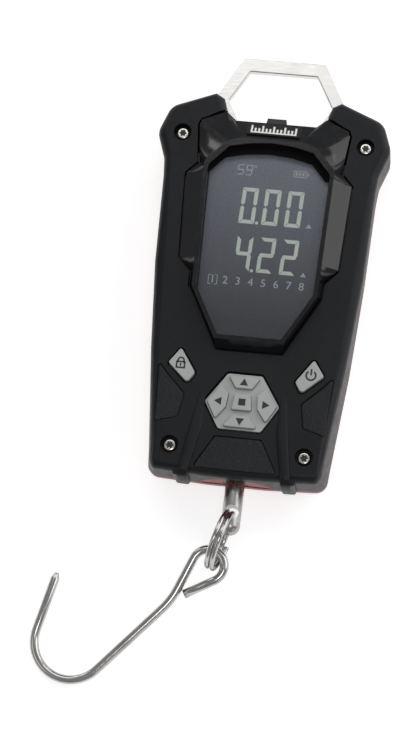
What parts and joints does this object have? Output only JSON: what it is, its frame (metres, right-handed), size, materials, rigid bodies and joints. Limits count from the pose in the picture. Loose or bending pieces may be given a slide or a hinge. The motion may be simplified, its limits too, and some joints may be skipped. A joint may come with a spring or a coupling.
{
  "type": "digital fish scale",
  "caption": "Hand-held digital hanging scale with a plate handle, a windowed display, a keypad and a swivelling hook on a ring.",
  "frame": {"origin": "centre of the flat back that the scale lies on, on the plane of symmetry", "axes": "+Z out of the display, +Y towards the plate handle, +X to the right as the display is read"},
  "size_m": [0.1153, 0.2478, 0.032],
  "materials": {
    "soft_black": "soft-touch matt black with a fine moulded texture",
    "red_shell": "satin red moulding",
    "black_rubber": "matt black rubber",
    "grain_rubber": "black rubber with a leather-like grain",
    "gloss_black": "high gloss black",
    "clear_lens": "clear window",
    "dark_plastic": "matt black",
    "lcd_dark": "dark blue-grey liquid crystal panel",
    "diffuser": "white diffuser",
    "plate_black": "black badge with plain white ruler marks",
    "key_grey": "mid grey silicone rubber",
    "dome_steel": "stainless snap domes",
    "board_green": "green solder mask",
    "chip_black": "black epoxy",
    "connector_white": "white nylon",
    "screw_steel": "stainless steel",
    "cell_aluminium": "machined aluminium",
    "gauge_film": "amber polyimide film",
    "satin_steel": "satin stainless steel",
    "polished_steel": "polished stainless steel",
    "bush_brass": "plain brass",
    "battery_jacket": "printed jacket, no lettering",
    "contact_nickel": "nickel-plated spring steel",
    "lead_red": "red insulation",
    "lead_black": "black insulation"
  },
  "bodies": {
    "case": {"front_shell": "soft_black", "rear_cover": "red_shell", "case_gasket": "black_rubber", "grip_left": "grain_rubber", "grip_right": "grain_rubber", "grip_lower": "grain_rubber", "display_bezel": "gloss_black", "display_lens": "clear_lens", "lcd_frame": "dark_plastic", "lcd_panel": "lcd_dark", "lcd_backlight": "diffuser", "name_plate": "plate_black", "keypad_sheet": "black_rubber", "pad_base": "key_grey", "key_domes": "dome_steel", "main_board": "board_green", "controller_chip": "chip_black", "converter_chip": "chip_black", "cell_socket": "connector_white", "battery_socket": "connector_white", "buzzer": "chip_black", "board_screws": "screw_steel", "load_cell": "cell_aluminium", "strain_gauges": "gauge_film", "handle_plate": "satin_steel", "handle_bolts": "screw_steel", "stud_bush": "bush_brass", "stud_seal": "black_rubber", "thrust_washer": "bush_brass", "case_screws": "screw_steel", "battery_right": "battery_jacket", "battery_left": "battery_jacket", "contact_springs": "contact_nickel", "contact_plates": "contact_nickel", "red_lead": "lead_red", "black_lead": "lead_black"},
    "battery_door": {"battery_door": "red_shell"},
    "stud": {"hook_stud": "polished_steel", "stud_nut": "screw_steel"},
    "ring": {"split_ring": "polished_steel"},
    "hook": {"weigh_hook": "polished_steel"},
    "lock_key": {"lock_key": "key_grey"},
    "power_key": {"power_key": "key_grey"},
    "up_key": {"up_key": "key_grey"},
    "down_key": {"down_key": "key_grey"},
    "left_key": {"left_key": "key_grey"},
    "right_key": {"right_key": "key_grey"},
    "select_key": {"select_key": "key_grey"}
  },
  "joints": [
    {"name": "lock_press", "type": "slide", "parent": "case", "child": "lock_key", "axis": [0, 0, -1], "range_m": [0, 0.0007], "stiffness_N_per_m": 900, "springref_m": -0.0006},
    {"name": "power_press", "type": "slide", "parent": "case", "child": "power_key", "axis": [0, 0, -1], "range_m": [0, 0.0007], "stiffness_N_per_m": 900, "springref_m": -0.0006},
    {"name": "up_press", "type": "slide", "parent": "case", "child": "up_key", "axis": [0, 0, -1], "range_m": [0, 0.0007], "stiffness_N_per_m": 900, "springref_m": -0.0006},
    {"name": "down_press", "type": "slide", "parent": "case", "child": "down_key", "axis": [0, 0, -1], "range_m": [0, 0.0007], "stiffness_N_per_m": 900, "springref_m": -0.0006},
    {"name": "left_press", "type": "slide", "parent": "case", "child": "left_key", "axis": [0, 0, -1], "range_m": [0, 0.0007], "stiffness_N_per_m": 900, "springref_m": -0.0006},
    {"name": "right_press", "type": "slide", "parent": "case", "child": "right_key", "axis": [0, 0, -1], "range_m": [0, 0.0007], "stiffness_N_per_m": 900, "springref_m": -0.0006},
    {"name": "select_press", "type": "slide", "parent": "case", "child": "select_key", "axis": [0, 0, -1], "range_m": [0, 0.0007], "stiffness_N_per_m": 900, "springref_m": -0.0006},
    {"name": "door_slide", "type": "slide", "parent": "case", "child": "battery_door", "axis": [0, -1, 0], "range_m": [0, 0.06]},
    {"name": "stud_swivel", "type": "hinge", "parent": "case", "child": "stud", "pos_m": [0, -0.0825, 0.015], "axis": [0, 1, 0], "continuous": true},
    {"name": "ring_swing", "type": "hinge", "parent": "stud", "child": "ring", "pos_m": [0, -0.0825, 0.015], "axis": [0, 0, 1], "range_deg": [-30, 60]},
    {"name": "hook_swing", "type": "hinge", "parent": "ring", "child": "hook", "pos_m": [-0.0059, -0.1012, 0.0082], "axis": [0, 0, 1], "range_deg": [-30, 65]}
  ]
}
